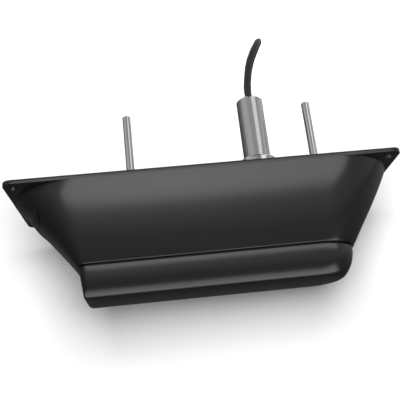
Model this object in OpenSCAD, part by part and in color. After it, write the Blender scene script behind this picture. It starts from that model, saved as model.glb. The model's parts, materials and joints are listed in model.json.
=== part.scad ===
// Through-hull sonar transducer: a boat-shaped fairing with a screw flange, a sonar pod under it,
// a threaded stem, two mounting studs and a cable that is coiled behind the fairing.
// Origin on the stem axis at the hull face of the flange. +Z up the stem, +X to the rounded nose.

/* [Flange] */
// From the stem axis to the tail end of the flange
tail_len = 237; // [230:1:250]
// From the stem axis to the nose end of the flange
nose_len = 120.5; // [112:0.5:135]
// Width of the flange
flange_w = 131; // [124:1:144]
// Thickness of the flange
flange_t = 4; // [3:0.5:7]
// Radius of the flange corners
flange_corner_r = 8.5; // [2:0.5:9]
// Radius of each corner screw hole
screw_hole_r = 2.25; // [1.75:0.25:3]
// Radius of the countersink at each corner screw hole
countersink_r = 4.4; // [3.5:0.1:6]
// From a corner screw hole to the end of the flange
hole_end_gap = 9.5; // [7:0.5:12]
// From a corner screw hole to the side of the flange
hole_side_gap = 11.5; // [8:0.5:16]

/* [Fairing] */
// Height of the fairing from the hull face to the pod seat
fairing_h = 74; // [66:1:90]
// How far the fairing body stands in from the flange edge
body_step = 0.05; // [0.05:0.05:2]
// How far the sides bow out between the flange and the pod seat
side_bow = 4; // [0:0.5:6]
// How far the nose bows out under the flange
nose_bow = 1.2; // [0:0.2:3]
// How far the tail is hollowed above the pod
tail_hollow = 1.6; // [0:0.2:3]
// How full the nose is under the flange, where 2 is an ellipse
nose_power = 2.2; // [2:0.05:2.6]
// How far the pod seat of the fairing stands out past the pod
seat_lip = 1.6; // [1:0.2:3]
// Chamfer on the lower edge of the fairing
seat_chamfer = 0.8; // [0.4:0.1:1.2]
// From the stem axis to the edge of the raised pad around the tail
tail_pad_x = 210; // [205:0.5:216]
// How far the pad around the tail stands out at its edge
tail_pad = 1; // [0.6:0.1:2]

/* [Pod] */
// From the stem axis to the flat tail end of the pod
pod_tail = 179; // [170:1:190]
// From the stem axis to the round nose end of the pod
pod_nose = 76.5; // [72:0.5:84]
// Half the width of the pod at its rim
pod_half_w = 38; // [36:0.5:43]
// Height of the pod shell
pod_h = 26.6; // [24:0.1:27]
// Radius of the curve from the pod's side towards its floor
side_r = 34.5; // [29:0.1:40]
// How far the middle of the pod's floor stands out from its crease
floor_crown = 1.3; // [0.2:0.1:2]
// How far the tail end of the pod leans in over its height
tail_draft = 3.4; // [1:0.2:5]
// Reach of the rounded corners at the tail end of the pod
tail_corner = 12; // [9:0.5:16]
// Side wall of the pod shell
pod_wall = 4; // [3:0.25:5]
// Acoustic window, the floor of the pod shell
window_t = 3.5; // [2.5:0.25:4.5]
// Thickness of the gasket between the fairing and the pod
gasket_t = 1.5; // [1:0.25:3]
// Width of the gasket band
gasket_w = 5; // [3:0.5:7]
// Thickness of the lid plate
lid_t = 5; // [4:0.5:6]
// Height of the raised part of the lid that locates in the fairing
lid_rise = 8; // [6:0.5:12]
// Thickness of the lid's roof
roof_t = 3; // [2.5:0.25:4]
// Gap around the raised part of the lid
locating_gap = 0.5; // [0.3:0.1:1]

/* [Stem and studs] */
// Radius of the stem's thread
stem_r = 13.2; // [12:0.1:14]
// Height of the stem's top over the hull face
stem_top = 90; // [70:1:100]
// Radius of the bore through the stem
stem_bore_r = 5; // [4:0.25:6]
// Radius of the stem's collar
collar_r = 18.6; // [17.5:0.1:20]
// Height of the collar's top over the hull face
collar_top = 24; // [16:0.5:30]
// Depth of the collar's seat in the hull face
collar_seat = 3; // [2:0.5:5]
// Chamfer at the stem's top
stem_chamfer = 1.5; // [0.5:0.25:2]
// Radius of the O-ring's section under the collar
o_ring_r = 1.3; // [1:0.1:1.5]
// Radius of each mounting stud's thread
stud_r = 4; // [3:0.25:5]
// Height of the studs' tops over the hull face
stud_top = 83; // [60:1:95]
// From the stem axis to the stud near the tail
stud_tail_x = 126; // [118:1:134]
// From the stem axis to the stud near the nose
stud_nose_x = 57; // [55:0.5:58]
// Thickness of a stud's captive nut
stud_nut_t = 6.5; // [5:0.25:7]
// Width across the flats of a stud's captive nut
stud_nut_af = 13; // [12:0.5:15]
// Thickness of the nut at the foot of the stem
foot_nut_t = 5; // [4:0.25:6]
// Gap around the stem and the studs in their bores
bore_gap = 0.3; // [0.2:0.05:0.6]

/* [Sound elements] */
// Depression of the side-looking elements
side_tilt = 27; // [20:1:32]
// Height of a side-looking element
side_el_h = 9; // [7:0.5:10]
// Thickness of a side-looking element
side_el_t = 4; // [3:0.25:4.5]
// Number of elements in a side-looking row
side_el_n = 5; // [3:1:7]
// Thickness of the backing behind a side-looking row
backing_t = 2.5; // [1.5:0.25:3]
// Width of the down-looking elements
down_el_w = 12; // [8:0.5:14]
// Thickness of the down-looking elements
down_el_t = 6; // [4:0.5:7]
// Number of elements in the down-looking row
down_el_n = 4; // [2:1:6]
// Thickness of the matching layer on each element's face
match_t = 1.5; // [1:0.25:2]
// Radius of the round element
disc_r = 19; // [15:0.5:20]
// Thickness of the round element
disc_t = 8; // [6:0.5:9]
// Distance of the round element from the stem axis
disc_x = 30; // [26:1:34]
// From the tail end of the pod to the carrier of the rows
carrier_tail_gap = 17; // [14:0.5:22]
// From the carrier of the rows to the round element
carrier_disc_gap = 17; // [12:0.5:24]
// Height of the carrier
carrier_h = 12.5; // [11:0.25:13.5]
// Gap between the side-looking rows and the wall of the pod
row_gap = 0.6; // [0.4:0.1:2]

/* [Circuit board] */
// Length of the circuit board
board_len = 132; // [126:2:140]
// Width of the circuit board
board_w = 38; // [34:1:42]
// Thickness of the circuit board
board_t = 1.6; // [1:0.2:2]
// Distance from the roof of the lid to the board
board_drop = 7.5; // [7:0.25:8.5]
// Side of each square transformer
transformer_w = 15; // [10:0.5:20]
// Height of each transformer
transformer_h = 6; // [4:0.25:6.5]

/* [Cable] */
// Diameter of the cable
cable_d = 7; // [6:0.25:7.5]
// Height that the cable seal stands over the stem
seal_rise = 4; // [2:0.5:6]
// Depth of the cable seal in the stem
seal_depth = 14; // [10:0.5:20]
// Radius of the cable seal
seal_r = 9; // [7:0.25:10]
// Diameter of the connector's body
plug_d = 17; // [14:0.5:20]
// Length of the connector's body
plug_len = 34; // [28:1:40]
// Length of the tapered sleeve behind the connector
plug_taper_len = 14; // [10:1:20]
// Diameter of the connector's locking ring
ring_d = 20.4; // [18:0.2:24]
// Length of the connector's locking ring
ring_len = 13; // [10:0.5:16]
// Number of contact pins around the connector's middle pin
pin_n = 8; // [4:1:10]

/* [Hidden] */
$fn = 64;

// Steps in each quarter of a lofted outline, and rings in each loft
steps = 12;
fairing_rings = 10;
pod_rings = 8;
crown_rings = 4;
eps = 0.01;
black = [0.11, 0.11, 0.12];
steel = [0.78, 0.78, 0.79];
brass = [0.76, 0.62, 0.32];
ceramic = [0.86, 0.82, 0.70];
rubber = [0.07, 0.07, 0.07];

// Levels, from the hull face down
seat_z = -fairing_h;
rim_z = seat_z - gasket_t;
pod_floor_z = rim_z - pod_h;
window_z = pod_floor_z + window_t;
lid_z = rim_z - lid_t;
roof_top_z = rim_z + lid_rise;
roof_z = roof_top_z - roof_t;
board_z = roof_z - board_drop;
down_el_z = window_z + match_t;
carrier_z = window_z + carrier_h;

// Shares of the fairing's height that the pad around the tail starts and ends at, the share that it
// rises over, and how deep it starts in the body
crown_flat = 3.6;
crown_in = pod_half_w - side_in(pod_h) - crown_flat;
pad_from = 0.2;
pad_to = 0.46;
pad_sink = 0.3;

// Ledge that the lid rests on, and how far the lid's raised part stands in from the pod rim
lid_gap = 0.2;
ledge_in = 2.4;
gasket_in = 3;
rise_in = gasket_in + gasket_w + 2 * locating_gap;
rise_wall = 3;
rise_tail_corner = 3;
stem_shank_r = stem_r - 0.4;
stud_shank_r = stud_r - 0.3;
stem_bore = stem_shank_r + bore_gap;
stud_x = [-stud_tail_x, stud_nose_x];
stud_end_z = roof_z - stud_nut_t - 1;
stud_boss_r = stud_nut_af / 2 / cos(30) + 2.2;
foot_nut_wall = 6.5;
foot_nut_r = stem_r + foot_nut_wall;
o_ring_pitch_r = (collar_r + stem_shank_r) / 2;

// Board posts and what stands on the board
board_nose_x = 30;
post_r = 3.2;
post_in = 4.5;
post_x = [board_nose_x - board_len + post_in, board_nose_x - post_in];
post_y = board_w / 2 - post_in;
board_screw_r = 1.25;
board_screw_head_r = 2.4;
board_screw_head_t = 1.6;
board_screw_len = 5;
transformer_x = [-84, -60, -36];

// Carrier and rows: the side rows lean at their tilt, just clear of the pod's wall
row_t = backing_t + side_el_t + match_t;
row_mid = row_t * sin(side_tilt) + side_el_h / 2 * cos(side_tilt) + row_gap;
carrier_foot = min(foot_under(side_el_h / 2), foot_under(-side_el_h / 2)) - row_gap;
carrier_tail_x = carrier_tail_gap - pod_tail;
carrier_len = disc_x - disc_r - carrier_disc_gap - carrier_tail_x;
carrier_mid_x = carrier_tail_x + carrier_len / 2;
side_el_gap = 1;
row_end = 3;
flex_x = [-90, -60, -30];
flex_w = 10;
flex_t = 0.6;
sensor_tail_gap = 11;
sensor_x = sensor_tail_gap - pod_tail;
sensor_r = 2.5;
sensor_h = 5;

// Cable coil behind the fairing: layers of turns about an axis along Y
turn_pitch = 7.4;
coil_turns = 5;
coil_layers = 4;
coil_x = -44;
coil_z = -14;
coil_first_y = 80;
coil_inner_r = 29.4;
coil_in = coil_inner_r - turn_pitch / 2;
coil_out = coil_inner_r + (coil_turns - 0.5) * turn_pitch;
coil_near_y = coil_first_y - turn_pitch / 2;
coil_w = coil_layers * turn_pitch;
coil_round = 3;
tie_angles = [90, 210, 330];
tie_t = 1.2;
tie_arc = 5;
tie_head = [6, 5, 4.5];

// Where the cable leaves the last turn, and the connector on it
exit_angle = 30;
exit_r = coil_inner_r + (coil_turns - 1) * turn_pitch;
exit_y = coil_first_y + (coil_layers - 1) * turn_pitch;
tail_from = sqrt(pow(coil_out, 2) - pow(exit_r - cable_d / 2, 2)) + 0.2;
tail_free = 8;
tail_to = tail_from + tail_free;
plug_wall = 2;
pin_r = 0.8;
pin_len = 7;
pin_circle_r = 4.6;
insert_t = 5;

// The cable's free stretch, from inside the seal over to the coil
cable_route = [
  [0, 0, 80], [0, 0, 94], [0, 0, 104], [2, 0, 117], [5.5, 0, 132], [11, 2, 146], [18, 8, 160],
  [23, 19, 170.5], [25, 32, 176], [24, 46, 177], [21, 59, 173], [18, 70, 165], [16, 77, 153],
  [15, 80, 140], [15, 80, 122], [15, 80, 104], [15, 80, 86], [15, 80, 68], [15, 80, 50],
  [15, 80, 32], [15, 80, 15.5]
];
cable_sides = 10;

// One quarter of a superellipse, from the tip of an end to its side
function quarter(reach, half_w, power, i) =
  let (t = 90 * i / steps) [reach * pow(cos(t), 2 / power), half_w * pow(sin(t), 2 / power)];

// Closed outline with a tail end and a nose end, counter-clockwise from the nose tip
function outline(tail, tail_reach, tail_power, nose, nose_reach, nose_power, half_w) = concat(
  [for (i = [0:steps]) let (q = quarter(nose_reach, half_w, nose_power, i))
    [nose - nose_reach + q[0], q[1]]],
  [for (i = [steps:-1:0]) let (q = quarter(tail_reach, half_w, tail_power, i))
    [tail + tail_reach - q[0], q[1]]],
  [for (i = [1:steps]) let (q = quarter(tail_reach, half_w, tail_power, i))
    [tail + tail_reach - q[0], -q[1]]],
  [for (i = [steps:-1:1]) let (q = quarter(nose_reach, half_w, nose_power, i))
    [nose - nose_reach + q[0], -q[1]]]
);

function mix(a, b, s) = a + (b - a) * s;

// Hump of height 1 that peaks a third of the way along and starts and ends at 0
function hump(s) = 27 / 4 * s * pow(1 - s, 2);

// Outline of the fairing at a share s of the way from the flange to the pod seat
function fairing_outline(s, in) =
  let (top_half = flange_w / 2 - body_step, seat_half = pod_half_w + seat_lip)
  outline(
    mix(body_step - tail_len, -pod_tail - seat_lip, s) + tail_hollow * hump(1 - s) + in,
    mix(top_half, tail_corner, s) - in,
    mix(2, 4, s),
    mix(nose_len - body_step, pod_nose + seat_lip, s) + nose_bow * hump(s) - in,
    mix(top_half, seat_half, s) - in,
    mix(nose_power, 2, s),
    mix(top_half, seat_half, s) + 4 * side_bow * s * (1 - s) - in
  );

// Outline of the pod, in by some way from its rim
function pod_outline(in, tail_in) =
  outline(tail_in - pod_tail, max(tail_corner - in, rise_tail_corner), 4, pod_nose - in,
    pod_half_w - in, 2, pod_half_w - in);

// How far the pod's side has curved in at a depth under its rim
function side_in(depth) = side_r - sqrt(side_r * side_r - depth * depth);

// Half the width inside the pod at a depth under its rim
function wall_half(depth) = pod_half_w - side_in(depth) - pod_wall;

// Half width of the carrier's foot that puts a point of the side row's face on the pod's wall,
// for a point some way up the slope from the row's middle
function foot_under(up) =
  let (z = window_z + row_mid - row_t * sin(side_tilt) + up * cos(side_tilt))
  wall_half(rim_z - z) - row_mid * tan(side_tilt) - row_t * cos(side_tilt) - up * sin(side_tilt);

// Solid through a list of [outline, height], from the top one down
module loft(rings) {
  n = len(rings[0][0]);
  last = len(rings) - 1;
  polyhedron(
    points = [for (r = rings) for (p = r[0]) [p[0], p[1], r[1]]],
    faces = concat(
      [[for (i = [n - 1:-1:0]) i]],
      [for (k = [0:last - 1]) for (i = [0:n - 1])
        [k * n + i, k * n + (i + 1) % n, (k + 1) * n + (i + 1) % n, (k + 1) * n + i]],
      [[for (i = [0:n - 1]) last * n + i]]
    ),
    convexity = 4
  );
}

module fairing_body() {
  edge_s = 1 - seat_chamfer / (fairing_h - flange_t);
  loft(concat(
    [[fairing_outline(0, 0), -flange_t / 2]],
    [for (k = [0:fairing_rings]) let (s = edge_s * k / fairing_rings)
      [fairing_outline(s, 0), mix(-flange_t, seat_z, s)]],
    [[fairing_outline(1, seat_chamfer), seat_z]]
  ));
}

// Pad around the tail: it rises out of the body, sinks back into it and ends in a step
module tail_pad_body() {
  intersection() {
    loft([for (k = [0:fairing_rings])
      let (s = mix(pad_from, pad_to, k / fairing_rings), rise = pow(sin(180 * k / fairing_rings), 2))
      [fairing_outline(s, pad_sink - (tail_pad + pad_sink) * rise), mix(-flange_t, seat_z, s)]]);
    translate([-tail_len - tail_pad_x, -flange_w, seat_z])
      cube([tail_len, 2 * flange_w, fairing_h]);
  }
}

// Plate between two heights with the pod's outline, in by some way
module pod_plate(in, low, high) {
  translate([0, 0, low])
    linear_extrude(high - low)
      polygon(pod_outline(in, in));
}

module flange_plate() {
  x = [-tail_len + flange_corner_r, nose_len - flange_corner_r];
  y = flange_w / 2 - flange_corner_r;
  translate([0, 0, -flange_t])
    linear_extrude(flange_t)
      union() {
        translate([-tail_len, -y]) square([tail_len + nose_len, 2 * y]);
        translate([x[0], -flange_w / 2]) square([x[1] - x[0], flange_w]);
        for (cx = x, cy = [-y, y]) translate([cx, cy]) circle(flange_corner_r);
      }
}

// Corner screw hole, countersunk from below
module corner_hole() {
  translate([0, 0, -flange_t - 1]) cylinder(r = screw_hole_r, h = flange_t + 2);
  depth = countersink_r - screw_hole_r;
  translate([0, 0, -flange_t - eps])
    cylinder(r1 = countersink_r, r2 = screw_hole_r, h = depth);
}

module fairing() {
  color(black)
    difference() {
      union() {
        flange_plate();
        fairing_body();
        tail_pad_body();
      }
      for (x = [hole_end_gap - tail_len, nose_len - hole_end_gap], side = [-1, 1])
        translate([x, side * (flange_w / 2 - hole_side_gap), 0]) corner_hole();
      translate([0, 0, seat_z - 1]) cylinder(r = stem_bore, h = fairing_h + 2);
      translate([0, 0, -collar_seat]) cylinder(r = collar_r + bore_gap, h = collar_seat + 1);
      for (x = stud_x)
        translate([x, 0, seat_z - 1]) cylinder(r = stud_r + bore_gap, h = fairing_h + 2);
      // pocket that the lid's raised part locates in
      pod_plate(rise_in - locating_gap, seat_z - 1, roof_top_z + locating_gap);
    }
}

module pod_shell() {
  color(black)
    difference() {
      loft(concat(
        [for (k = [0:pod_rings]) let (d = pod_h * sin(90 * k / pod_rings))
          [pod_outline(side_in(d), tail_draft * d / pod_h), rim_z - d]],
        [for (k = [1:crown_rings]) let (in = crown_in * k / crown_rings)
          [pod_outline(side_in(pod_h) + in, tail_draft + in),
            pod_floor_z - floor_crown * (1 - pow(1 - k / crown_rings, 2))]]
      ));
      pod_plate(ledge_in, lid_z, rim_z + 1);
      cavity_h = pod_h - window_t;
      loft([for (k = [0:pod_rings]) let (d = lid_t - 1 + (cavity_h - lid_t + 1) * k / pod_rings)
        [pod_outline(side_in(d) + pod_wall, tail_draft * d / pod_h + pod_wall), rim_z - d]]);
    }
}

module pod_lid() {
  color(black)
    difference() {
      union() {
        difference() {
          union() {
            pod_plate(ledge_in + lid_gap, lid_z, rim_z);
            pod_plate(rise_in, rim_z - 1, roof_top_z);
          }
          pod_plate(rise_in + rise_wall, lid_z - 1, roof_z);
        }
        for (x = stud_x) translate([x, 0, roof_z - stud_nut_t])
          cylinder(r = stud_boss_r, h = stud_nut_t + eps);
        for (x = post_x, y = [-post_y, post_y]) translate([x, y, board_z])
          cylinder(r = post_r, h = board_drop + eps);
      }
      translate([0, 0, roof_z - 1]) cylinder(r = stem_bore, h = roof_t + 2);
      for (x = stud_x) {
        translate([x, 0, roof_z - 1]) cylinder(r = stud_shank_r + bore_gap, h = roof_t + 2);
        translate([x, 0, roof_z - stud_nut_t - 1]) rotate(30)
          cylinder(r = stud_nut_af / 2 / cos(30), h = stud_nut_t + 1, $fn = 6);
      }
      for (x = post_x, y = [-post_y, post_y]) translate([x, y, board_z - 1])
        cylinder(r = board_screw_r, h = board_screw_len - board_t + 1);
    }
}

module pod_gasket() {
  color(rubber)
    difference() {
      pod_plate(gasket_in, rim_z, seat_z);
      pod_plate(gasket_in + gasket_w, rim_z - 1, seat_z + 1);
    }
}

module stem() {
  foot_z = roof_z - foot_nut_t - 1;
  groove = o_ring_r * 2;
  color(steel)
    rotate_extrude()
      difference() {
        union() {
          translate([0, foot_z]) square([stem_shank_r, stem_top - stem_chamfer - foot_z]);
          translate([0, collar_top - 1]) square([stem_r, stem_top - stem_chamfer - collar_top + 1]);
          polygon([
            [0, stem_top - stem_chamfer - 1], [stem_r, stem_top - stem_chamfer - 1],
            [stem_r, stem_top - stem_chamfer], [stem_r - stem_chamfer, stem_top], [0, stem_top]
          ]);
          polygon([
            [0, -collar_seat], [collar_r, -collar_seat], [collar_r, collar_top - stem_chamfer],
            [collar_r - stem_chamfer, collar_top], [0, collar_top]
          ]);
        }
        translate([-1, foot_z - 1]) square([stem_bore_r + 1, stem_top - foot_z + 2]);
        translate([-1, stem_top - seal_depth]) square([seal_r + 1, seal_depth + 1]);
        translate([o_ring_pitch_r - o_ring_r, -collar_seat - 1]) square([groove, groove + 1]);
      }
}

module stem_o_ring() {
  color(rubber)
    translate([0, 0, -collar_seat + o_ring_r])
      rotate_extrude()
        translate([o_ring_pitch_r, 0]) circle(o_ring_r);
}

module stem_foot_nut() {
  color(steel)
    translate([0, 0, roof_z - foot_nut_t])
      difference() {
        cylinder(r = foot_nut_r, h = foot_nut_t, $fn = 6);
        translate([0, 0, -1]) cylinder(r = stem_shank_r, h = foot_nut_t + 2);
      }
}

// Stud threaded over the hull face, with a thinner shank through the fairing
module stud(x) {
  tip = stud_r / 4;
  color(steel)
    translate([x, 0, 0])
      rotate_extrude()
        polygon([
          [0, stud_end_z], [stud_shank_r, stud_end_z], [stud_shank_r, 0], [stud_r, 0],
          [stud_r, stud_top - tip], [stud_r - tip, stud_top], [0, stud_top]
        ]);
}

module tail_stud() { stud(stud_x[0]); }

module nose_stud() { stud(stud_x[1]); }

module stud_nuts() {
  color(brass)
    for (x = stud_x)
      translate([x, 0, roof_z - stud_nut_t])
        difference() {
          rotate(30) cylinder(r = stud_nut_af / 2 / cos(30), h = stud_nut_t, $fn = 6);
          translate([0, 0, -1]) cylinder(r = stud_shank_r, h = stud_nut_t + 2);
        }
}

// Carrier profile: sides that lean out at the tilt of the rows, and a channel for the middle row
module array_carrier() {
  lean = carrier_h * tan(side_tilt);
  color([0.30, 0.30, 0.32])
    translate([carrier_tail_x, 0, window_z])
      rotate([90, 0, 90])
        linear_extrude(carrier_len)
          difference() {
            polygon([
              [-carrier_foot, 0], [carrier_foot, 0],
              [carrier_foot + lean, carrier_h], [-carrier_foot - lean, carrier_h]
            ]);
            translate([-down_el_w / 2, -1]) square([down_el_w, match_t + down_el_t + 1]);
          }
}

// Place on the leaning side of the carrier: X along it, Y up the slope, Z out of it
module on_side(side) {
  translate([carrier_mid_x, side * (carrier_foot + row_mid * tan(side_tilt)), window_z + row_mid])
    rotate([90 + side_tilt, 0, side > 0 ? 180 : 0])
      children();
}

module side_slab(side, out, thick) {
  on_side(side)
    translate([-carrier_len / 2 + row_end, -side_el_h / 2, out])
      cube([carrier_len - 2 * row_end, side_el_h, thick]);
}

module side_row(side) {
  pitch = (carrier_len - 2 * row_end + side_el_gap) / side_el_n;
  color(ceramic)
    on_side(side)
      for (i = [0:side_el_n - 1])
        translate([-carrier_len / 2 + row_end + i * pitch, -side_el_h / 2, backing_t])
          cube([pitch - side_el_gap, side_el_h, side_el_t]);
}

module near_backing() { color([0.45, 0.32, 0.22]) side_slab(-1, 0, backing_t); }

module far_backing() { color([0.45, 0.32, 0.22]) side_slab(1, 0, backing_t); }

module near_side_row() { side_row(-1); }

module far_side_row() { side_row(1); }

module near_matching_strip() {
  color([0.55, 0.62, 0.45]) side_slab(-1, row_t - match_t, match_t);
}

module far_matching_strip() {
  color([0.55, 0.62, 0.45]) side_slab(1, row_t - match_t, match_t);
}

module down_row() {
  pitch = (carrier_len - 2 * row_end + side_el_gap) / down_el_n;
  color(ceramic)
    for (i = [0:down_el_n - 1])
      translate([carrier_tail_x + row_end + i * pitch, -down_el_w / 2, down_el_z])
        cube([pitch - side_el_gap, down_el_w, down_el_t]);
}

module down_matching_strip() {
  color([0.55, 0.62, 0.45])
    translate([carrier_tail_x + row_end, -down_el_w / 2, window_z])
      cube([carrier_len - 2 * row_end, down_el_w, match_t]);
}

module disc_element() {
  color(ceramic) translate([disc_x, 0, down_el_z]) cylinder(r = disc_r, h = disc_t);
}

module disc_matching_plate() {
  color([0.55, 0.62, 0.45]) translate([disc_x, 0, window_z]) cylinder(r = disc_r, h = match_t);
}

module disc_backing() {
  color([0.45, 0.32, 0.22])
    translate([disc_x, 0, down_el_z + disc_t])
      cylinder(r = disc_r, h = backing_t);
}

module circuit_board() {
  color([0.10, 0.35, 0.20])
    difference() {
      translate([board_nose_x - board_len, -board_w / 2, board_z - board_t])
        cube([board_len, board_w, board_t]);
      for (x = post_x, y = [-post_y, post_y]) translate([x, y, board_z - board_t - 1])
        cylinder(r = board_screw_r, h = board_t + 2);
    }
}

module transformers() {
  color([0.20, 0.20, 0.22])
    for (x = transformer_x)
      translate([x - transformer_w / 2, -transformer_w / 2, board_z])
        cube([transformer_w, transformer_w, transformer_h]);
}

module board_screws() {
  color(steel)
    for (x = post_x, y = [-post_y, post_y])
      translate([x, y, board_z - board_t]) {
        cylinder(r = board_screw_r, h = board_screw_len);
        translate([0, 0, -board_screw_head_t])
          cylinder(r = board_screw_head_r, h = board_screw_head_t);
      }
}

// Flexible leads from the rows on the carrier up to the board
module flex_leads() {
  color([0.75, 0.50, 0.20])
    for (x = flex_x)
      translate([x - flex_w / 2, -flex_t / 2, carrier_z])
        cube([flex_w, flex_t, board_z - board_t - carrier_z]);
}

module temperature_sensor() {
  color(steel) translate([sensor_x, 0, window_z]) cylinder(r = sensor_r, h = sensor_h);
}

// Stripped inner cable, down the stem to the board
module cable_core() {
  color([0.55, 0.55, 0.58])
    translate([0, 0, board_z])
      cylinder(r = cable_d / 2 - 0.7, h = cable_route[0][2] - board_z);
}

module cable_seal() {
  top = cable_d / 2 + 2;
  color(rubber)
    rotate_extrude()
      polygon([
        [cable_d / 2, stem_top - seal_depth], [seal_r, stem_top - seal_depth],
        [seal_r, stem_top], [top, stem_top + seal_rise], [cable_d / 2, stem_top + seal_rise]
      ]);
}

function unit(v) = v / norm(v);

// Direction of a route at one of its points
function heading(route, i) =
  unit(route[min(i + 1, len(route) - 1)] - route[max(i - 1, 0)]);

module cable() {
  n = cable_sides;
  last = len(cable_route) - 1;
  across = [1, 0, 0];
  color([0.22, 0.22, 0.23])
    polyhedron(
      points = [for (i = [0:last])
        let (d = heading(cable_route, i), u = unit(cross(d, across)), v = cross(d, u))
        for (k = [0:n - 1])
          cable_route[i] + cable_d / 2 * (cos(360 * k / n) * u + sin(360 * k / n) * v)],
      faces = concat(
        [[for (k = [0:n - 1]) k]],
        [for (i = [0:last - 1]) for (k = [0:n - 1])
          [i * n + k, (i + 1) * n + k, (i + 1) * n + (k + 1) % n, i * n + (k + 1) % n]],
        [[for (k = [n - 1:-1:0]) last * n + k]]
      ),
      convexity = 6
    );
}

// Section of the coil: all its layers and turns in one rounded block
module coil_section(grow) {
  low = coil_in - grow;
  high = coil_out + grow;
  half = coil_w / 2 + grow;
  translate([low + coil_round, -half]) square([high - low - 2 * coil_round, 2 * half]);
  translate([low, -half + coil_round]) square([high - low, 2 * half - 2 * coil_round]);
  for (x = [low + coil_round, high - coil_round], y = [-half + coil_round, half - coil_round])
    translate([x, y]) circle(coil_round);
}

// Place on the coil's axis: turned angles start at +X and run up towards +Z
module on_coil() {
  translate([coil_x, coil_near_y + coil_w / 2, coil_z])
    rotate([90, 0, 0])
      children();
}

module cable_coil() {
  color([0.22, 0.22, 0.23])
    on_coil()
      rotate_extrude()
        coil_section(0);
}

// Ties around the coil's section, each with its head on the far face
module coil_ties() {
  head_r = (coil_in + coil_out - tie_head[0]) / 2;
  head_z = -coil_w / 2 - tie_t / 2 - tie_head[2];
  color(rubber)
    for (a = tie_angles)
      on_coil() {
        rotate(a - tie_arc / 2)
          rotate_extrude(angle = tie_arc)
            difference() {
              coil_section(tie_t);
              coil_section(0);
            }
        rotate(a) translate([head_r, -tie_head[1] / 2, head_z]) cube(tie_head);
      }
}

// Place at a distance along the line that the cable leaves the coil on, with Z along that line
module on_exit(along) {
  c = [cos(exit_angle), 0, sin(exit_angle)];
  d = [sin(exit_angle), 0, -cos(exit_angle)];
  translate([coil_x, exit_y, coil_z] + exit_r * c + along * d)
    rotate([0, 180 - exit_angle, 0])
      children();
}

module cable_tail() {
  color([0.22, 0.22, 0.23])
    on_exit(tail_from) cylinder(d = cable_d, h = tail_to - tail_from);
}

module connector_body() {
  color(black)
    on_exit(tail_to)
      difference() {
        union() {
          cylinder(d1 = cable_d + 2.4, d2 = plug_d - 2, h = plug_taper_len);
          translate([0, 0, plug_taper_len]) cylinder(d = plug_d, h = plug_len);
        }
        translate([0, 0, plug_taper_len + plug_len - pin_len - insert_t])
          cylinder(d = plug_d - 2 * plug_wall, h = pin_len + insert_t + 1);
      }
}

module connector_ring() {
  color([0.16, 0.16, 0.17])
    on_exit(tail_to + plug_taper_len + plug_len - ring_len)
      difference() {
        union() {
          cylinder(d = ring_d - 1, h = ring_len);
          for (i = [0:11]) rotate(i * 30)
            translate([ring_d / 2 - 1, -0.9, 1]) cube([1, 1.8, ring_len - 2]);
        }
        translate([0, 0, -1]) cylinder(d = plug_d, h = ring_len + 2);
      }
}

module connector_insert() {
  color([0.25, 0.25, 0.27])
    on_exit(tail_to + plug_taper_len + plug_len - pin_len - insert_t)
      difference() {
        cylinder(d = plug_d - 2 * plug_wall, h = insert_t);
        connector_pin_places() translate([0, 0, 1]) cylinder(r = pin_r, h = insert_t);
      }
}

module connector_pin_places() {
  children();
  for (i = [0:pin_n - 1]) rotate(i * 360 / pin_n) translate([pin_circle_r, 0, 0]) children();
}

module connector_pins() {
  color([0.85, 0.70, 0.35])
    on_exit(tail_to + plug_taper_len + plug_len - pin_len - insert_t + 1)
      connector_pin_places() cylinder(r = pin_r, h = insert_t - 1 + pin_len - 1);
}

fairing();
pod_shell();
pod_lid();
pod_gasket();
stem();
stem_o_ring();
stem_foot_nut();
tail_stud();
nose_stud();
stud_nuts();
array_carrier();
near_backing();
far_backing();
near_side_row();
far_side_row();
near_matching_strip();
far_matching_strip();
down_row();
down_matching_strip();
disc_element();
disc_matching_plate();
disc_backing();
circuit_board();
transformers();
board_screws();
flex_leads();
temperature_sensor();
cable_core();
cable_seal();
cable();
cable_coil();
cable_tail();
coil_ties();
connector_body();
connector_ring();
connector_insert();
connector_pins();
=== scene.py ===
"""Through-hull sonar transducer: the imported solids, dressed for the camera."""
import json
import math

import bpy
from mathutils import Matrix, Vector


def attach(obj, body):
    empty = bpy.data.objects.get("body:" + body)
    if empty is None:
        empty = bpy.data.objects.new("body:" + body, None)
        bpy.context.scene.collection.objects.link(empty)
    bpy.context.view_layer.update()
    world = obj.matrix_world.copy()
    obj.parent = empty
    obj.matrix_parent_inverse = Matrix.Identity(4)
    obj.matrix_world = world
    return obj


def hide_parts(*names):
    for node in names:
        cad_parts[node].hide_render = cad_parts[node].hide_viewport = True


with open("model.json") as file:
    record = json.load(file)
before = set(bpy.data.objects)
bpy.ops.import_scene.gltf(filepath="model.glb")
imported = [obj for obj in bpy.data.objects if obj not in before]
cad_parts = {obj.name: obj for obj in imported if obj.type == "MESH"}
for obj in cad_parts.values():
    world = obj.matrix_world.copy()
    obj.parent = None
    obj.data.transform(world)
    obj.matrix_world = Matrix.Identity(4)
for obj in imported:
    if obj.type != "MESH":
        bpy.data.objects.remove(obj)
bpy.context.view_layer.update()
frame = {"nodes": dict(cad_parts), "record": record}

MM = 0.001

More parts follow.
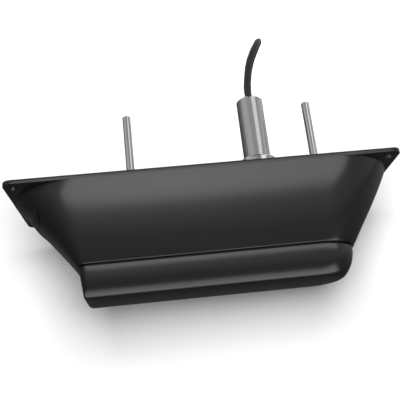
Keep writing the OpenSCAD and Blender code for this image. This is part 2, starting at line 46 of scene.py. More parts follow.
# Sizes in millimetres, as in the solids
TAIL_LEN = 237.0
NOSE_LEN = 120.5
FLANGE_W = 131.0
FLANGE_T = 4.0
FLANGE_CORNER_R = 8.5
FLANGE_EDGE_R = 0.4
SCREW_HOLE_R = 2.25
COUNTERSINK_R = 4.4
HOLE_END_GAP = 9.5
HOLE_SIDE_GAP = 11.5
FAIRING_H = 74.0
BODY_STEP = 0.05
SIDE_BOW = 4.0
NOSE_BOW = 1.2
TAIL_HOLLOW = 1.6
NOSE_POWER = 2.2
SEAT_LIP = 1.6
SEAT_EDGE_R = 0.8
TAIL_PAD_X = -210.0
TAIL_PAD = 1.0
PAD_FROM, PAD_TO, PAD_SINK = 0.2, 0.46, 0.3
POD_TAIL = 179.0
POD_NOSE = 76.5
POD_HALF_W = 38.0
POD_H = 26.6
POD_SIDE_R = 34.5
FLOOR_CROWN = 1.3
CROWN_FLAT = 3.6
POD_TAIL_DRAFT = 3.4
POD_TAIL_CORNER = 12.0
POD_WALL = 4.0
WINDOW_T = 3.5
LID_T = 5.0
LEDGE_IN = 2.4
POCKET_IN = 8.5
POCKET_TOP_Z = -67.0
SEAT_Z = -FAIRING_H
RIM_Z = -75.5
STEM_R = 13.2
STEM_TOP = 90.0
STEM_SHANK_R = 12.8
STEM_FOOT_Z = -76.5
STEM_BORE_R = 5.0
STEM_CHAMFER = 1.5
STEM_PITCH = 1.814
# The threads are cut shallower than real ones, because the photograph shows them faintly
STEM_THREAD_DEPTH = 0.16
STEM_RELIEF = 0.6
COLLAR_R = 18.6
COLLAR_TOP = 24.0
COLLAR_SEAT = 3.0
SEAL_R = 9.0
SEAL_DEPTH = 14.0
STUD_R = 4.0
STUD_TOP = 83.0
STUD_SHANK_R = 3.7
STUD_END_Z = -78.0
STUD_PITCH = 1.25
STUD_THREAD_DEPTH = 0.03
STUD_RELIEF = 0.4
STUD_CHAMFER = 1.0
STUD_X = {"tail_stud": -126.0, "nose_stud": 57.0}
BORE_GAP = 0.3
CABLE_D = 7.0

# Camera fitted to the photograph, whose frame is square
CAMERA_TARGET = (-61.51, 0.0, -11.67)
CAMERA_DISTANCE = 658.44
CAMERA_ELEVATION = -18.63
CAMERA_AZIMUTH = -4.51
CAMERA_ROLL = -6.56
CAMERA_LENS = 61.13
CAMERA_SENSOR = 36.0
CAMERA_CLIP = (0.01, 20.0)


def metres(point):
    return Vector(point) * MM


def mix(a, b, share):
    return a + (b - a) * share


def add_camera():
    elevation, azimuth, roll = (
        math.radians(a) for a in (CAMERA_ELEVATION, CAMERA_AZIMUTH, CAMERA_ROLL)
    )
    forward = Vector((
        -math.sin(azimuth) * math.cos(elevation),
        math.cos(azimuth) * math.cos(elevation),
        -math.sin(elevation),
    ))
    right = Vector((math.cos(azimuth), math.sin(azimuth), 0))
    up = right.cross(forward)
    right, up = (
        math.cos(roll) * right + math.sin(roll) * up,
        math.cos(roll) * up - math.sin(roll) * right,
    )
    place = metres(CAMERA_TARGET) - forward * CAMERA_DISTANCE * MM
    data = bpy.data.cameras.new("photo_camera")
    data.lens = CAMERA_LENS
    data.sensor_width = CAMERA_SENSOR
    data.clip_start, data.clip_end = CAMERA_CLIP
    camera = bpy.data.objects.new("photo_camera", data)
    bpy.context.scene.collection.objects.link(camera)
    turn = Matrix((right, up, -forward)).transposed().to_4x4()
    camera.matrix_world = Matrix.Translation(place) @ turn
    bpy.context.scene.camera = camera
    return forward, right, up


view_forward, view_right, view_up = add_camera()

# The cable: out of the seal, up and over, down the far side, and into the coil
CABLE_ROUTE = [
    (0, 0, 80), (0, 0, 94), (0, 0, 104), (2, 0, 117), (5.5, 0, 132), (11, 2, 146),
    (18, 8, 160), (23, 19, 170.5), (25, 32, 176), (24, 46, 177), (21, 59, 173), (18, 70, 165),
    (16, 77, 153), (15, 80, 140), (15, 80, 122), (15, 80, 104), (15, 80, 86), (15, 80, 68),
    (15, 80, 50), (15, 80, 32), (15, 80, 14), (15, 80, 0),
]
COIL_X = -44.0
COIL_Z = -14.0
COIL_FIRST_Y = 80.0
COIL_INNER_R = 29.4
TURN_PITCH = 7.4
COIL_TURNS = 5
COIL_LAYERS = 4
TURN_POINTS = 16
CROSS_FROM = 0.75
EXIT_ANGLE = 30.0
TAIL_TO = 37.4
TAIL_IN_PLUG = 4.0
CABLE_ROUND_STEPS = 4
CABLE_ALONG_STEPS = 8


def coil_points():
    """Turns of the coil, layer by layer, each stepping to the next in its last quarter."""
    turns = []
    for layer in range(COIL_LAYERS):
        order = range(COIL_TURNS)
        for i in order if layer % 2 else reversed(order):
            turns.append((COIL_INNER_R + i * TURN_PITCH, COIL_FIRST_Y + layer * TURN_PITCH))
    points = []
    last_share = 1 - EXIT_ANGLE / 360
    for n, (r, y) in enumerate(turns):
        r_next, y_next = turns[min(n + 1, len(turns) - 1)]
        for k in range(TURN_POINTS):
            share = k / TURN_POINTS
            if n == len(turns) - 1:
                share *= last_share
            step = max(0.0, (share - CROSS_FROM) / (1 - CROSS_FROM))
            step = step * step * (3 - 2 * step)
            a = -2 * math.pi * share
            at_r = mix(r, r_next, step)
            points.append((
                COIL_X + at_r * math.cos(a), mix(y, y_next, step), COIL_Z + at_r * math.sin(a)
            ))
    a = math.radians(EXIT_ANGLE)
    r, y = turns[-1]
    for along in (0, TAIL_TO / 2, TAIL_TO + TAIL_IN_PLUG):
        points.append((
            COIL_X + r * math.cos(a) + along * math.sin(a), y,
            COIL_Z + r * math.sin(a) - along * math.cos(a),
        ))
    return points


def make_cable():
    # A curve's box grows by its points' radius, so they carry the cable's, on a bevel of 1
    data = bpy.data.curves.new("transducer_cable", "CURVE")
    data.dimensions = "3D"
    data.bevel_depth = 1.0
    data.bevel_resolution = CABLE_ROUND_STEPS
    data.resolution_u = CABLE_ALONG_STEPS
    data.use_fill_caps = True
    route = CABLE_ROUTE + coil_points()
    spline = data.splines.new("BEZIER")
    spline.bezier_points.add(len(route) - 1)
    for knot, point in zip(spline.bezier_points, route):
        knot.co = metres(point)
        knot.radius = CABLE_D / 2 * MM
        knot.handle_left_type = knot.handle_right_type = "AUTO"
    cable = bpy.data.objects.new("transducer_cable", data)
    bpy.context.scene.collection.objects.link(cable)
    return cable


cable = make_cable()
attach(cable, "root")
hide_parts("cable", "cable_coil", "cable_tail")


# Shapes

# Angles round a quarter of an outline, closer together at the corner
WIDE_STEP, CLOSE_STEP, CLOSE_STEPS = 2.5, 0.5, 8
QUARTER = sorted(
    {WIDE_STEP * i for i in range(round(90 / WIDE_STEP) + 1)}
    | {45 + CLOSE_STEP * i for i in range(-CLOSE_STEPS, CLOSE_STEPS + 1)}
)
# Powers of the superellipses: a plain ellipse, and the square end of the tail
PLAIN_POWER = 2
TAIL_POWER = 4
TAIL_CORNER_LEAST = 3.0
# How far a cutter reaches past the face that it cuts
PAST = 1.0
SINK_PAST = 0.01
EDGE_STEPS = 3
AROUND = 72
MERGE_WITHIN = 1e-6
# Edges with less than this angle between their faces are shaded smooth, in degrees
FAIRING_SMOOTH, POD_SMOOTH, TURNED_SMOOTH = 30, 20, 35


def quarter_points(reach, half_w, power):
    """Quarter of a superellipse, from the tip of an end to its side."""
    return [
        (
            reach * max(0.0, math.cos(math.radians(t))) ** (2 / power),
            half_w * math.sin(math.radians(t)) ** (2 / power),
        )
        for t in QUARTER
    ]


def closed_outline(tail, nose, tail_quarter, nose_quarter):
    """Outline from the nose tip round to itself, out of a quarter for each end."""
    near = [(nose + x, y) for x, y in nose_quarter]
    near += [(tail - x, y) for x, y in tail_quarter[::-1]]
    return near + [(x, -y) for x, y in near[-2:0:-1]]


def outline(tail, tail_reach, tail_power, nose, nose_reach, nose_power, half_w):
    return closed_outline(
        tail + tail_reach,
        nose - nose_reach,
        quarter_points(tail_reach, half_w, tail_power),
        quarter_points(nose_reach, half_w, nose_power),
    )


def corner_quarter(reach, half_w, corner_r):
    """Quarter of a rounded rectangle, each point straight out from one of the arc in it."""
    points = []
    centre = Vector((reach - corner_r, half_w - corner_r))
    for t in QUARTER:
        d = Vector((math.cos(math.radians(t)), math.sin(math.radians(t))))
        if d.y * reach <= centre.y * d.x:
            points.append((reach, reach * d.y / d.x))
        elif d.x * half_w <= centre.x * d.y:
            points.append((half_w * d.x / d.y, half_w))
        else:
            along = d.dot(centre)
            p = d * (along + math.sqrt(along ** 2 - centre.length_squared + corner_r ** 2))
            points.append((p.x, p.y))
    return points


def flange_outline(inside):
    half = FLANGE_W / 2 - inside
    corner = corner_quarter(half, half, FLANGE_CORNER_R - inside)
    return closed_outline(
        inside - TAIL_LEN + half, NOSE_LEN - inside - half, corner, corner
    )


def hump(share):
    """Hump of height 1 that peaks a third of the way along and starts and ends at 0."""
    return 27 / 4 * share * (1 - share) ** 2


def fairing_outline(share, inside):
    """Outline of the fairing some share of the way from the flange to the pod seat."""
    top_half = FLANGE_W / 2 - BODY_STEP
    seat_half = POD_HALF_W + SEAT_LIP
    reach = mix(top_half, seat_half, share) - inside
    tail = mix(BODY_STEP - TAIL_LEN, -POD_TAIL - SEAT_LIP, share)
    nose = mix(NOSE_LEN - BODY_STEP, POD_NOSE + SEAT_LIP, share)
    return outline(
        tail + TAIL_HOLLOW * hump(1 - share) + inside,
        mix(top_half, POD_TAIL_CORNER, share) - inside,
        mix(PLAIN_POWER, TAIL_POWER, share),
        nose + NOSE_BOW * hump(share) - inside,
        reach,
        mix(NOSE_POWER, PLAIN_POWER, share),
        reach + 4 * SIDE_BOW * share * (1 - share),
    )


def pod_outline(inside, tail_in):
    """Outline of the pod, some way in from its rim, and some other way in at its tail."""
    half = POD_HALF_W - inside
    return outline(
        tail_in - POD_TAIL,
        max(POD_TAIL_CORNER - inside, TAIL_CORNER_LEAST),
        TAIL_POWER,
        POD_NOSE - inside,
        half,
        PLAIN_POWER,
        half,
    )


def at_height(points, z):
    return [(x, y, z) for x, y in points]


def round_edge():
    """Steps round a quarter of an edge: how far in, and how far along, as shares of its radius."""
    turns = [math.pi / 2 * k / EDGE_STEPS for k in range(EDGE_STEPS + 1)]
    return [(1 - math.cos(a), math.sin(a)) for a in turns]


def use_only(piece):
    bpy.ops.object.select_all(action="DESELECT")
    piece.select_set(True)
    bpy.context.view_layer.objects.active = piece


def wrap(name, rings, ring_shaped=False):
    """Grid laid on closed outlines, merged along its seam, and capped unless it meets itself."""
    around, along = len(rings[0]), len(rings)
    bpy.ops.object.select_all(action="DESELECT")
    bpy.ops.mesh.primitive_grid_add(x_subdivisions=around, y_subdivisions=along - 1)
    piece = bpy.context.object
    piece.name = piece.data.name = name
    for j, ring in enumerate(rings):
        for i in range(around + 1):
            piece.data.vertices[j * (around + 1) + i].co = metres(ring[i % around])
    piece.matrix_world = Matrix.Identity(4)
    bpy.ops.object.mode_set(mode="EDIT")
    bpy.ops.mesh.select_all(action="SELECT")
    bpy.ops.mesh.remove_doubles(threshold=MERGE_WITHIN)
    if not ring_shaped:
        bpy.ops.mesh.select_all(action="SELECT")
        bpy.ops.mesh.fill_holes(sides=0)
    bpy.ops.mesh.select_all(action="SELECT")
    bpy.ops.mesh.normals_make_consistent(inside=False)
    bpy.ops.object.mode_set(mode="OBJECT")
    return piece


def rod(name, x, y, low, high, low_r, high_r):
    """Round cutter, upright, which may taper."""
    bpy.ops.object.select_all(action="DESELECT")
    bpy.ops.mesh.primitive_cone_add(
        vertices=AROUND, radius1=low_r * MM, radius2=high_r * MM, depth=(high - low) * MM,
        location=metres((x, y, (low + high) / 2)),
    )
    piece = bpy.context.object
    piece.name = name
    bpy.ops.object.transform_apply(location=True, rotation=True, scale=True)
    return piece


def combine(piece, other, operation):
    """Cut another piece away from this one, or fuse it to it, and use the other one up."""
    use_only(piece)
    step = piece.modifiers.new(operation.lower(), "BOOLEAN")
    step.object = other
    step.operation = operation
    step.solver = "EXACT"
    bpy.ops.object.modifier_apply(modifier=step.name)
    bpy.data.objects.remove(other)


def cut(piece, *cutters):
    for cutter in cutters:
        combine(piece, cutter, "DIFFERENCE")


def join(piece, other):
    combine(piece, other, "UNION")


def smooth(piece, degrees):
    use_only(piece)
    bpy.ops.object.shade_smooth_by_angle(angle=math.radians(degrees))


def plate(name, inside, low, high):
    points = pod_outline(inside, inside)
    return wrap(name, [at_height(points, high), at_height(points, low)])


FAIRING_STEPS = 28
# The flange's lower edge takes at most this share of its overhang
OVERHANG_SHARE = 0.4


def body_z(share):
    return mix(-FLANGE_T, SEAT_Z, share)


def flange_rings():
    """Flange with a rounded upper edge, and a lower one that is round only where it overhangs."""
    rings = []
    for back, along in round_edge()[::-1]:
        inside = FLANGE_EDGE_R * back
        rings.append(at_height(flange_outline(inside), FLANGE_EDGE_R * (along - 1)))
    side = [Vector(p) for p in flange_outline(0)]
    body = [Vector(p) for p in fairing_outline(0, 0)]
    for back, along in round_edge():
        ring = []
        for edge, foot in zip(side, body):
            over = foot - edge
            r = min(FLANGE_EDGE_R, OVERHANG_SHARE * over.length)
            at = edge + over.normalized() * r * back
            ring.append((at.x, at.y, -FLANGE_T + r * (1 - along)))
        rings.append(ring)
    return rings


def body_rings():
    """Body of the fairing, from under the flange down to a rounded lower edge."""
    edge_share = 1 - SEAT_EDGE_R / (FAIRING_H - FLANGE_T)
    rings = []
    for k in range(FAIRING_STEPS + 1):
        share = edge_share * k / FAIRING_STEPS
        rings.append(at_height(fairing_outline(share, 0), body_z(share)))
    for back, along in round_edge()[1:]:
        share = mix(edge_share, 1, along)
        rings.append(at_height(fairing_outline(share, SEAT_EDGE_R * back), body_z(share)))
    return rings


def model_tail_pad():
    """Pad around the tail: it rises out of the body, sinks back into it and ends in a step."""
    rings = []
    for k in range(FAIRING_STEPS + 1):
        share = mix(PAD_FROM, PAD_TO, k / FAIRING_STEPS)
        rise = math.sin(math.pi * k / FAIRING_STEPS) ** 2
        out = (TAIL_PAD + PAD_SINK) * rise - PAD_SINK
        rings.append(at_height(fairing_outline(share, -out), body_z(share)))
    pad = wrap("tail_pad", rings)
    box = [
        (TAIL_PAD_X, -FLANGE_W),
        (NOSE_LEN, -FLANGE_W),
        (NOSE_LEN, FLANGE_W),
        (TAIL_PAD_X, FLANGE_W),
    ]
    cut(pad, wrap("pad_trim", [at_height(box, 0), at_height(box, SEAT_Z)]))
    return pad


def model_fairing():
    fairing = wrap("fairing_moulding", flange_rings() + body_rings())
    join(fairing, model_tail_pad())
    cutters = []
    sink = COUNTERSINK_R - SCREW_HOLE_R
    for x in (HOLE_END_GAP - TAIL_LEN, NOSE_LEN - HOLE_END_GAP):
        for y in (HOLE_SIDE_GAP - FLANGE_W / 2, FLANGE_W / 2 - HOLE_SIDE_GAP):
            cutters.append(rod(
                "screw_hole", x, y, -FLANGE_T - PAST, PAST, SCREW_HOLE_R, SCREW_HOLE_R
            ))
            cutters.append(rod(
                "countersink", x, y, -FLANGE_T - SINK_PAST, sink - FLANGE_T,
                COUNTERSINK_R, SCREW_HOLE_R,
            ))
    stem_bore, collar_bore, stud_bore = (
        r + BORE_GAP for r in (STEM_SHANK_R, COLLAR_R, STUD_R)
    )
    cutters.append(rod("stem_bore", 0, 0, SEAT_Z - PAST, PAST, stem_bore, stem_bore))
    cutters.append(rod("collar_seat", 0, 0, -COLLAR_SEAT, PAST, collar_bore, collar_bore))
    for x in STUD_X.values():
        cutters.append(rod("stud_bore", x, 0, SEAT_Z - PAST, PAST, stud_bore, stud_bore))
    cutters.append(plate("lid_pocket", POCKET_IN, SEAT_Z - PAST, POCKET_TOP_Z))
    cut(fairing, *cutters)
    smooth(fairing, FAIRING_SMOOTH)
    return fairing


def side_in(depth):
    """How far in the pod's side curves, at a depth under its rim."""
    return POD_SIDE_R - math.sqrt(POD_SIDE_R ** 2 - depth ** 2)


POD_STEPS = 30
CROWN_STEPS = 8
POD_RIM_R = 0.5
POD_RIM_STEP = 0.2
POD_CREASE_R = 3.0
CREASE_STEPS = 8
CROWN_IN = POD_HALF_W - side_in(POD_H) - CROWN_FLAT


def floor_depth(inside):
    """Depth of the pod's floor under its rim, some way in from the crease."""
    return POD_H + FLOOR_CROWN * (1 - (1 - inside / CROWN_IN) ** 2)


def crease_rings():
    """Round the crease over, on a curve that leaves the side and meets the floor."""
    start, r = POD_H - POD_CREASE_R, POD_CREASE_R
    side = Vector((side_in(start), POD_TAIL_DRAFT * start / POD_H, start))
    crease = Vector((side_in(POD_H), POD_TAIL_DRAFT, POD_H))
    floor = Vector((side_in(POD_H) + r, POD_TAIL_DRAFT + r, floor_depth(r)))
    rings = []
    for k in range(1, CREASE_STEPS):
        t = k / CREASE_STEPS
        inside, tail_in, depth = side.lerp(crease, t).lerp(crease.lerp(floor, t), t)
        rings.append(at_height(pod_outline(inside, tail_in), RIM_Z - depth))
    return rings


def model_pod():
    rings = []
    for back, down in round_edge():
        inside = POD_RIM_R * (1 - down)
        rings.append(at_height(pod_outline(inside, inside), RIM_Z - POD_RIM_R * back))
    first = POD_RIM_R + POD_RIM_STEP
    last = POD_H - POD_CREASE_R
    for k in range(POD_STEPS + 1):
        d = mix(first, last, math.sin(math.pi / 2 * k / POD_STEPS))
        rings.append(at_height(pod_outline(side_in(d), POD_TAIL_DRAFT * d / POD_H), RIM_Z - d))
    rings += crease_rings()
    for k in range(CROWN_STEPS + 1):
        inside = mix(POD_CREASE_R, CROWN_IN, k / CROWN_STEPS)
        rings.append(at_height(
            pod_outline(side_in(POD_H) + inside, POD_TAIL_DRAFT + inside),
            RIM_Z - floor_depth(inside),
        ))
    pod = wrap("pod_moulding", rings)
    cavity = []
    for k in range(POD_STEPS + 1):
        d = mix(LID_T - PAST, POD_H - WINDOW_T, k / POD_STEPS)
        cavity.append(at_height(
            pod_outline(side_in(d) + POD_WALL, POD_TAIL_DRAFT * d / POD_H + POD_WALL), RIM_Z - d
        ))
    lid_seat = plate("lid_seat", LEDGE_IN, RIM_Z - LID_T, RIM_Z + PAST)
    cut(pod, lid_seat, wrap("pod_cavity", cavity))
    smooth(pod, POD_SMOOTH)
    return pod


def turned_rings(profile, x, sides, cut_in, bore_r=0.0):
    """Rings of a piece turned about an upright axis, from its (radius, height) profile.

    A thread is cut into them, but not into the bore.
    """
    rings = []
    for r, z in profile:
        ring = []
        for i in range(sides):
            a = 2 * math.pi * i / sides
            at_r = r - cut_in(z, i / sides) if r > bore_r else r
            ring.append((x + at_r * math.cos(a), at_r * math.sin(a), z))
        rings.append(ring)
    return rings


ROWS_PER_PITCH = 12
# Share of the pitch that the groove takes up
THREAD_GROOVE = 0.35


def thread_cutter(low, high, pitch, depth):
    """Function for the depth of a helical thread, which runs out at both of its ends."""
    def cut_in(z, turn):
        if not low < z < high:
            return 0.0
        phase = (z / pitch - turn) % 1
        wave = abs(2 * phase - 1)
        run_out = min(1.0, (z - low) / pitch, (high - z) / pitch)
        return depth * run_out * max(0.0, 1 - (1 - wave) / THREAD_GROOVE)
    return cut_in


def thread_rows(r, low, high, pitch):
    count = round((high - low) / pitch * ROWS_PER_PITCH)
    return [(r, mix(low, high, k / count)) for k in range(count + 1)]


def model_stem():
    low, high = COLLAR_TOP + STEM_RELIEF, STEM_TOP - STEM_CHAMFER
    profile = [(STEM_BORE_R, STEM_FOOT_Z), (STEM_SHANK_R, STEM_FOOT_Z)]
    profile += [(STEM_SHANK_R, -COLLAR_SEAT), (COLLAR_R, -COLLAR_SEAT)]
    profile += [(COLLAR_R, COLLAR_TOP - STEM_CHAMFER), (COLLAR_R - STEM_CHAMFER, COLLAR_TOP)]
    profile += [(STEM_R, COLLAR_TOP)] + thread_rows(STEM_R, low, high, STEM_PITCH)
    profile += [(STEM_R - STEM_CHAMFER, STEM_TOP), (SEAL_R, STEM_TOP)]
    profile += [(SEAL_R, STEM_TOP - SEAL_DEPTH), (STEM_BORE_R, STEM_TOP - SEAL_DEPTH)]
    cut_in = thread_cutter(low, high, STEM_PITCH, STEM_THREAD_DEPTH)
    rings = turned_rings(profile + profile[:1], 0, AROUND, cut_in, bore_r=STEM_BORE_R)
    stem = wrap("stem_turning", rings, ring_shaped=True)
    smooth(stem, TURNED_SMOOTH)
    return stem


def model_stud(node):
    low, high = STUD_RELIEF, STUD_TOP - STUD_CHAMFER
    profile = [(STUD_SHANK_R, STUD_END_Z), (STUD_SHANK_R, 0), (STUD_R, 0)]
    profile += thread_rows(STUD_R, low, high, STUD_PITCH)
    profile += [(STUD_R - STUD_CHAMFER, STUD_TOP)]
    cut_in = thread_cutter(low, high, STUD_PITCH, STUD_THREAD_DEPTH)
    stud = wrap(node + "_rod", turned_rings(profile, STUD_X[node], AROUND // 2, cut_in))
    smooth(stud, TURNED_SMOOTH)
    return stud


# Materials

def linear(hex_colour):
    """Linear colour from an sRGB hex value."""
    parts = [int(hex_colour[i:i + 2], 16) / 255 for i in (1, 3, 5)]
    return tuple(
        c / 12.92 if c <= 0.04045 else ((c + 0.055) / 1.055) ** 2.4 for c in parts
    ) + (1.0,)


def add_node(tree, kind, inputs, **settings):
    """Node with its settings, and its inputs set or linked."""
    node = tree.nodes.new(kind)
    for key, value in settings.items():
        setattr(node, key, value)
    for key, value in inputs.items():
        if isinstance(value, bpy.types.NodeSocket):
            tree.links.new(value, node.inputs[key])
        else:
            node.inputs[key].default_value = value
    return node


# Noise levels that most of the grain lies between
GRAIN_LOW, GRAIN_HIGH = 0.3, 0.7
# Wide clouds that the colour also varies with, per metre
CLOUD_SCALE = 18.0
GRAIN_DETAIL, CLOUD_DETAIL = 3.0, 2.0
# Height of the grain's relief, as a share of its size
RELIEF_SHARE = 0.1
# Sockets of a mix node that are for colours
MIX_A, MIX_B, MIX_RESULT = 6, 7, 2


def grained(
    name, dark, light, grain_mm, rough, bump, metallic=0.0, specular=0.5, stretch=(1, 1, 1)
):
    """Surface that varies between two colours and two roughnesses at a grain size, with a bump."""
    material = bpy.data.materials.new(name)
    material.use_nodes = True
    tree = material.node_tree
    shader = tree.nodes["Principled BSDF"]
    place = add_node(tree, "ShaderNodeTexCoord", {})
    stretched = add_node(
        tree, "ShaderNodeMapping", {"Vector": place.outputs["Object"], "Scale": stretch}
    )
    grain = add_node(
        tree, "ShaderNodeTexNoise",
        {"Vector": stretched.outputs[0], "Scale": 1 / (grain_mm * MM), "Detail": GRAIN_DETAIL},
    )
    cloud = add_node(
        tree, "ShaderNodeTexNoise",
        {"Vector": place.outputs["Object"], "Scale": CLOUD_SCALE, "Detail": CLOUD_DETAIL},
    )
    blend = add_node(
        tree, "ShaderNodeMath", {0: grain.outputs[0], 1: cloud.outputs[0]}, operation="MULTIPLY"
    )
    colour = add_node(tree, "ShaderNodeMix", {"Factor": blend.outputs[0]}, data_type="RGBA")
    colour.inputs[MIX_A].default_value = linear(dark)
    colour.inputs[MIX_B].default_value = linear(light)
    roughness = add_node(
        tree, "ShaderNodeMapRange",
        {"Value": grain.outputs[0], "From Min": GRAIN_LOW, "From Max": GRAIN_HIGH,
         "To Min": rough[0], "To Max": rough[1]},
    )
    relief = add_node(
        tree, "ShaderNodeBump",
        {"Height": grain.outputs[0], "Strength": bump, "Distance": RELIEF_SHARE * grain_mm * MM},
    )
    tree.links.new(colour.outputs[MIX_RESULT], shader.inputs["Base Color"])
    tree.links.new(roughness.outputs[0], shader.inputs["Roughness"])
    tree.links.new(relief.outputs[0], shader.inputs["Normal"])
    shader.inputs["Metallic"].default_value = metallic
    shader.inputs["Specular IOR Level"].default_value = specular
    return material


# Cast polyurethane out of a polished mould: black, satin, with a faint grain.
# Its real grain is under 0.3 mm and is drawn at 0.9 mm, so that it shows at all
moulded_urethane = grained(
    "moulded_urethane", "#121213", "#181819", 0.9, (0.23, 0.25), 0.02, specular=0.17
)
# Stainless steel off the lathe: bright, with fine turning lines across its axis
turned_stainless = grained(
    "turned_stainless", "#9d9d9e", "#a5a5a6", 0.8, (0.13, 0.17), 0.02, metallic=1.0,
    stretch=(0.05, 0.05, 1),
)
# Nitrile rubber out of a mould: near black and dull
seal_rubber = grained("seal_rubber", "#111111", "#1c1c1c", 0.6, (0.60, 0.75), 0.20, specular=0.3)
# Polyurethane cable jacket, extruded: dark grey and satin
cable_jacket = grained("cable_jacket", "#171718", "#202021", 0.8, (0.42, 0.55), 0.15, specular=0.3)
# Moulded nylon of the cable ties
tie_nylon = grained("tie_nylon", "#151515", "#222222", 0.5, (0.40, 0.55), 0.15)
# Glass-filled nylon of the plug: fine spark-eroded grain
plug_plastic = grained("plug_plastic", "#171718", "#242425", 0.7, (0.45, 0.60), 0.25)
# Turned brass of the nuts and the plug's pins
turned_brass = grained(
    "turned_brass", "#b08d45", "#cfae62", 0.5, (0.22, 0.34), 0.08, metallic=1.0
)
# Cork and rubber sheet behind the elements
cork_rubber = grained("cork_rubber", "#5a3c28", "#86624a", 1.2, (0.75, 0.90), 0.35)
# Ground piezo ceramic: cream and fairly dull
piezo_ceramic = grained("piezo_ceramic", "#d2c6a4", "#e6dcc0", 0.4, (0.35, 0.50), 0.05)
# Cast epoxy of the matching layers
matching_epoxy = grained("matching_epoxy", "#83905f", "#9aa876", 0.5, (0.35, 0.45), 0.05)
# Green solder mask on the board
board_laminate = grained("board_laminate", "#155030", "#1f6a40", 0.9, (0.25, 0.35), 0.10)
# Sintered ferrite
ferrite = grained("ferrite", "#2b2b2d", "#39393b", 0.4, (0.45, 0.60), 0.15)
# Polyimide film of the flexible leads
flex_film = grained("flex_film", "#a8651c", "#c98433", 0.6, (0.20, 0.30), 0.05)
# Foil round the cable's cores
core_wrap = grained("core_wrap", "#a9a9ac", "#c6c6c9", 0.9, (0.25, 0.40), 0.30, metallic=1.0)

BY_SLOT = {
    "black_urethane": moulded_urethane,
    "stainless_steel": turned_stainless,
    "brass": turned_brass,
    "seal_rubber": seal_rubber,
    "cork_rubber": cork_rubber,
    "piezo_ceramic": piezo_ceramic,
    "matching_epoxy": matching_epoxy,
    "board_laminate": board_laminate,
    "ferrite": ferrite,
    "flex_film": flex_film,
    "core_wrap": core_wrap,
    "cable_jacket": cable_jacket,
    "tie_nylon": tie_nylon,
    "plug_plastic": plug_plastic,
}


def dress(thing, material):
    thing.data.materials.clear()
    thing.data.materials.append(material)


for part in frame["record"]["subparts"]:
    dress(frame["nodes"][part["node"]], BY_SLOT[part["material_slot"]])
dress(cable, cable_jacket)


def place_piece(piece, node, slot):
    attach(piece, "root")
    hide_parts(node)
    dress(piece, BY_SLOT[slot])
    return piece


fairing = place_piece(model_fairing(), "fairing", "black_urethane")
pod = place_piece(model_pod(), "pod_shell", "black_urethane")
turnings = [place_piece(model_stem(), "stem", "stainless_steel")]
for stud_node in STUD_X:
    turnings.append(place_piece(model_stud(stud_node), stud_node, "stainless_steel"))


# Stage: a white sheet close behind the object, which takes its soft shadow

BACKDROP_BEHIND = 135.0
BACKDROP_SIZE = 1000.0
BACKDROP_PAINT = (0.9, 0.9, 0.9, 1)
BACKDROP_GLOW = 0.02
# The sheet glows more towards its edges, where the lamp lights it less
EDGE_GLOW = 0.14
EDGE_FROM, EDGE_TO = 190.0, 320.0


def hang_backdrop():
    centre = metres(CAMERA_TARGET) + view_forward * BACKDROP_BEHIND * MM
    bpy.ops.object.select_all(action="DESELECT")
    bpy.ops.mesh.primitive_grid_add(x_subdivisions=4, y_subdivisions=4, size=BACKDROP_SIZE * MM)
    sheet = bpy.context.object
    sheet.name = "backdrop"
    turn = Matrix((view_right, view_up, -view_forward)).transposed().to_4x4()
    sheet.matrix_world = Matrix.Translation(centre) @ turn
    sheet.visible_glossy = False
    material = bpy.data.materials.new("white_backdrop")
    material.use_nodes = True
    tree = material.node_tree
    tree.nodes.clear()
    paint = add_node(tree, "ShaderNodeBsdfDiffuse", {"Color": BACKDROP_PAINT})
    place = add_node(tree, "ShaderNodeTexCoord", {})
    out = add_node(
        tree, "ShaderNodeVectorMath", {0: place.outputs["Object"]}, operation="LENGTH"
    )
    level = add_node(
        tree, "ShaderNodeMapRange",
        {"Value": out.outputs["Value"], "From Min": EDGE_FROM * MM, "From Max": EDGE_TO * MM,
         "To Min": BACKDROP_GLOW, "To Max": EDGE_GLOW},
    )
    glow = add_node(
        tree, "ShaderNodeEmission", {"Color": (1, 1, 1, 1), "Strength": level.outputs[0]}
    )
    lit = add_node(tree, "ShaderNodeAddShader", {0: paint.outputs[0], 1: glow.outputs[0]})
    clear = add_node(tree, "ShaderNodeBsdfTransparent", {})
    side = add_node(tree, "ShaderNodeNewGeometry", {})
    both = add_node(
        tree, "ShaderNodeMixShader",
        {0: side.outputs["Backfacing"], 1: lit.outputs[0], 2: clear.outputs[0]},
    )
    add_node(tree, "ShaderNodeOutputMaterial", {"Surface": both.outputs[0]})
    sheet.data.materials.append(material)


hang_backdrop()


def area_lamp(name, place, aim, size, radiance, shape="RECTANGLE", only="gloss"):
    """Lamp that is seen in reflections only, or that only gives light and shade."""
    data = bpy.data.lights.new(name, "AREA")
    data.shape = shape
    data.size, data.size_y = (side * MM for side in size)
    data.energy = radiance * math.pi * data.size * data.size_y
    lamp = bpy.data.objects.new(name, data)
    bpy.context.scene.collection.objects.link(lamp)
    lamp.location = metres(place)
    lamp.rotation_mode = "QUATERNION"
    lamp.rotation_quaternion = (metres(aim) - metres(place)).to_track_quat("-Z", "Y")
    lamp.visible_diffuse = only != "gloss"
    lamp.visible_glossy = only != "shade"
    return lamp


def group(name, pieces):
    """Collection outside the scene, for the lamps that go with some pieces only."""
    collection = bpy.data.collections.new(name)
    for piece in pieces:
        collection.objects.link(piece)
    return collection


fairing_alone = group("fairing_alone", [fairing])
pod_alone = group("pod_alone", [pod])
black_mouldings = group("black_mouldings", [fairing, pod])
bright_turnings = group("bright_turnings", turnings)

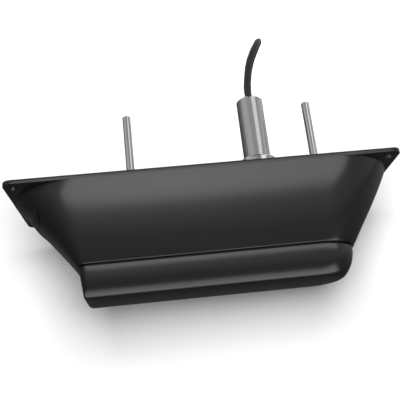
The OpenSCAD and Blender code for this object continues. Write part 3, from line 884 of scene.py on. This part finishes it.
# One lamp lights the surfaces and throws the shadow, and the others are only seen in reflections.
# Only the black mouldings throw its shadow, as in the photograph
shade_lamp = area_lamp(
    "shade_lamp", place=(-86, -620, -96), aim=(-60, 0, -20), size=(285, 285), radiance=30.2,
    only="shade",
)
shade_lamp.light_linking.blocker_collection = black_mouldings
# A softbox each for the bands on the fairing and the pod, and strips for the flange's near edge
# and the pod's lower band. The fairing's is an ellipse, so that the ends of its band slant
key_softbox = area_lamp(
    "key_softbox", place=(-10, -966, -35), aim=(-60, 0, -35), size=(1440, 480), radiance=5.8,
    shape="ELLIPSE",
)
edge_strip = area_lamp(
    "edge_strip", place=(10, -966, 355), aim=(-60, 0, 0), size=(900, 120), radiance=11.0
)
for lamp in (key_softbox, edge_strip):
    lamp.light_linking.receiver_collection = fairing_alone
pod_softbox = area_lamp(
    "pod_softbox", place=(400, -966, 120), aim=(200, 0, 120), size=(2200, 420), radiance=6.8
)
pod_softbox.light_linking.receiver_collection = pod_alone
low_strip = area_lamp(
    "low_strip", place=(105, -65, -500), aim=(105, -65, -90), size=(850, 310), radiance=6.3
)
low_strip.light_linking.receiver_collection = black_mouldings
# A strip makes the bright line on the steel, and a card behind keeps its far side from
# going black
side_strip = area_lamp(
    "side_strip", place=(425, -700, 430), aim=(0, 0, 50), size=(490, 380), radiance=1.75
)
rear_card = area_lamp(
    "rear_card", place=(-60, 900, -300), aim=(-60, 0, 0), size=(1600, 500), radiance=0.8
)
for lamp in (side_strip, rear_card):
    lamp.light_linking.receiver_collection = bright_turnings

WORLD_LIGHT = 0.15
WORLD_BRIGHT_SIDE = (0.25, -0.6, 0.75)
# Brightness in reflections, against how far a direction points to the bright side, in rising
# order: dark behind, a grey band at right angles to that side, and a dim ring round its middle
WORLD_MIRRORED = {
    -0.8: 0.08, -0.3: 0.1, 0.0: 0.5, 0.06: 0.13, 0.16: 1.05, 0.24: 1.15, 0.55: 0.95,
    0.73: 0.77, 0.83: 0.42, 1.0: 1.0,
}


def light_world():
    """World that the camera sees as white, and reflections as the levels above."""
    world = bpy.data.worlds.new("studio")
    bpy.context.scene.world = world
    world.use_nodes = True
    tree = world.node_tree
    tree.nodes.clear()
    ray = add_node(tree, "ShaderNodeLightPath", {})
    place = add_node(tree, "ShaderNodeTexCoord", {})
    towards = add_node(
        tree, "ShaderNodeVectorMath",
        {0: place.outputs["Generated"], 1: WORLD_BRIGHT_SIDE}, operation="DOT_PRODUCT",
    )
    share = add_node(
        tree, "ShaderNodeMapRange",
        {"Value": towards.outputs["Value"], "From Min": -1.0, "From Max": 1.0},
    )
    mirrored = add_node(tree, "ShaderNodeValToRGB", {"Fac": share.outputs[0]})
    stops = mirrored.color_ramp.elements
    while len(stops) < len(WORLD_MIRRORED):
        stops.new(1.0)
    for stop, (at, level) in zip(stops, WORLD_MIRRORED.items()):
        stop.position = (at + 1) / 2
        stop.color = (level, level, level, 1)
    shiny = add_node(
        tree, "ShaderNodeMath",
        {0: ray.outputs["Is Glossy Ray"], 1: ray.outputs["Is Transmission Ray"]},
        operation="MAXIMUM",
    )
    lit = add_node(
        tree, "ShaderNodeMix", {"Factor": shiny.outputs[0], "A": WORLD_LIGHT,
                                "B": mirrored.outputs[0]},
    )
    seen = add_node(
        tree, "ShaderNodeMix", {"Factor": ray.outputs["Is Camera Ray"], "A": lit.outputs[0],
                                "B": 1.0},
    )
    white = add_node(
        tree, "ShaderNodeBackground", {"Color": (1, 1, 1, 1), "Strength": seen.outputs[0]}
    )
    add_node(tree, "ShaderNodeOutputWorld", {"Surface": white.outputs[0]})


light_world()
bpy.context.scene.view_settings.view_transform = "Standard"

bpy.context.view_layer.update()
